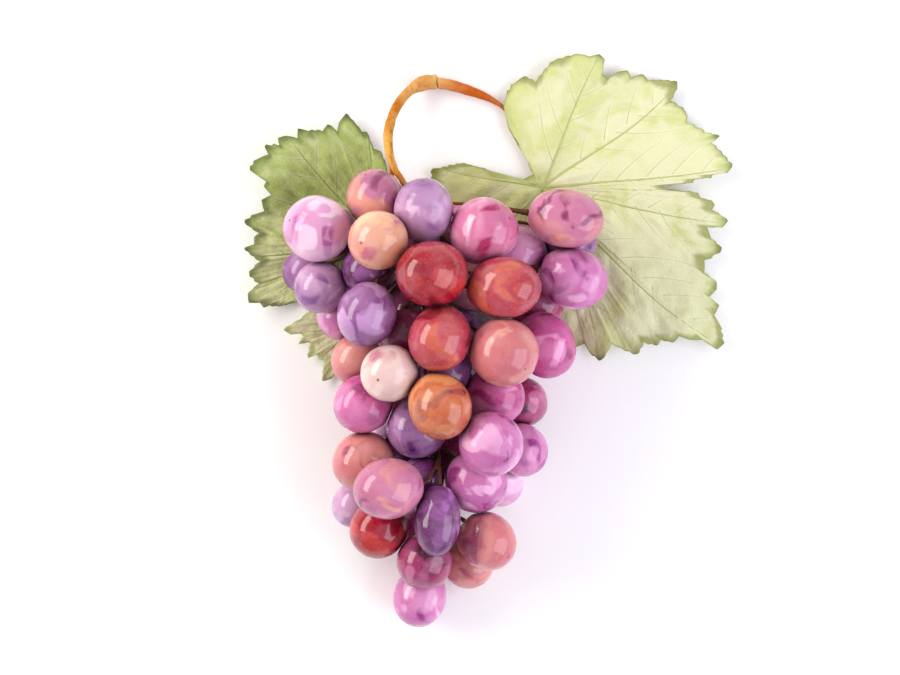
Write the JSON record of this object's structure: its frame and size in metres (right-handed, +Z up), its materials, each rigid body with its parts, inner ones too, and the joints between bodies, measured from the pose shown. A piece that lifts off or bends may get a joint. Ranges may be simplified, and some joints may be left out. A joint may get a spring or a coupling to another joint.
{
  "type": "bunch of grapes",
  "caption": "Bunch of red table grapes lying on its back, with its woody stalk and lobed vine leaves behind it.",
  "frame": {"origin": "under the middle of the whole bunch and its leaves, on the surface that it lies on", "axes": "+Y along the bunch from its tip to its stalk, +X to the right as seen from above, +Z up from the surface"},
  "size_m": [0.199, 0.2328, 0.0683],
  "materials": {
    "stalk": "ochre woody grape stalk, satin, paler at the elbow",
    "leaf_right": "pale yellow-green vine leaf, matte, with veins",
    "leaf_left": "olive-green vine leaf, matte, with darker edges",
    "leaf_lower_left": "very pale green vine leaf, matte",
    "skin_pink": "pale pink grape skin, translucent and glossy with a thin bloom",
    "skin_mauve": "mauve grape skin, translucent and glossy with a thin bloom",
    "skin_lilac": "lilac grape skin, translucent and glossy with a thin bloom",
    "skin_apricot": "apricot grape skin, translucent and glossy with a thin bloom",
    "skin_rose": "rose pink grape skin, translucent and glossy with a thin bloom",
    "skin_crimson": "deep crimson red grape skin, translucent and glossy with a thin bloom",
    "skin_coral": "coral red grape skin, translucent and glossy with a thin bloom",
    "skin_orchid": "orchid pink grape skin, translucent and glossy with a thin bloom",
    "skin_violet": "violet grape skin, translucent and glossy with a thin bloom",
    "skin_plum": "dark plum grape skin, translucent and glossy with a thin bloom",
    "skin_blush": "pale blush grape skin, translucent and glossy with a thin bloom",
    "skin_magenta": "magenta grape skin, translucent and glossy with a thin bloom",
    "skin_shell": "creamy shell-pink grape skin, translucent and glossy with a thin bloom",
    "skin_amber": "orange amber grape skin, translucent and glossy with a thin bloom",
    "skin_wine": "wine red grape skin, translucent and glossy with a thin bloom"
  },
  "bodies": {
    "root": {"stem": "stalk", "leaf_right": "leaf_right", "leaf_left": "leaf_left", "leaf_lower_left": "leaf_lower_left", "berry_01": "skin_pink", "berry_02": "skin_mauve", "berry_03": "skin_lilac", "berry_04": "skin_apricot", "berry_05": "skin_rose", "berry_06": "skin_crimson", "berry_07": "skin_coral", "berry_08": "skin_mauve", "berry_09": "skin_orchid", "berry_10": "skin_orchid", "berry_11": "skin_violet", "berry_12": "skin_lilac", "berry_13": "skin_plum", "berry_14": "skin_violet", "berry_15": "skin_orchid", "berry_16": "skin_coral", "berry_17": "skin_blush", "berry_18": "skin_magenta", "berry_19": "skin_blush", "berry_20": "skin_shell", "berry_21": "skin_magenta", "berry_22": "skin_amber", "berry_23": "skin_magenta", "berry_24": "skin_wine", "berry_25": "skin_plum", "berry_26": "skin_violet", "berry_27": "skin_blush", "berry_28": "skin_orchid", "berry_29": "skin_orchid", "berry_30": "skin_mauve", "berry_31": "skin_orchid", "berry_32": "skin_pink", "berry_33": "skin_lilac", "berry_34": "skin_crimson", "berry_35": "skin_plum", "berry_36": "skin_blush", "berry_37": "skin_wine", "berry_38": "skin_blush", "berry_39": "skin_orchid", "berry_40": "skin_plum", "berry_41": "skin_magenta", "berry_42": "skin_wine", "berry_43": "skin_violet", "berry_44": "skin_magenta", "berry_45": "skin_wine", "berry_46": "skin_violet", "berry_47": "skin_mauve", "berry_48": "skin_wine", "berry_49": "skin_violet", "berry_50": "skin_magenta", "berry_51": "skin_mauve", "berry_52": "skin_plum", "berry_53": "skin_violet", "berry_54": "skin_wine", "berry_55": "skin_magenta", "berry_56": "skin_plum"}
  },
  "joints": []
}
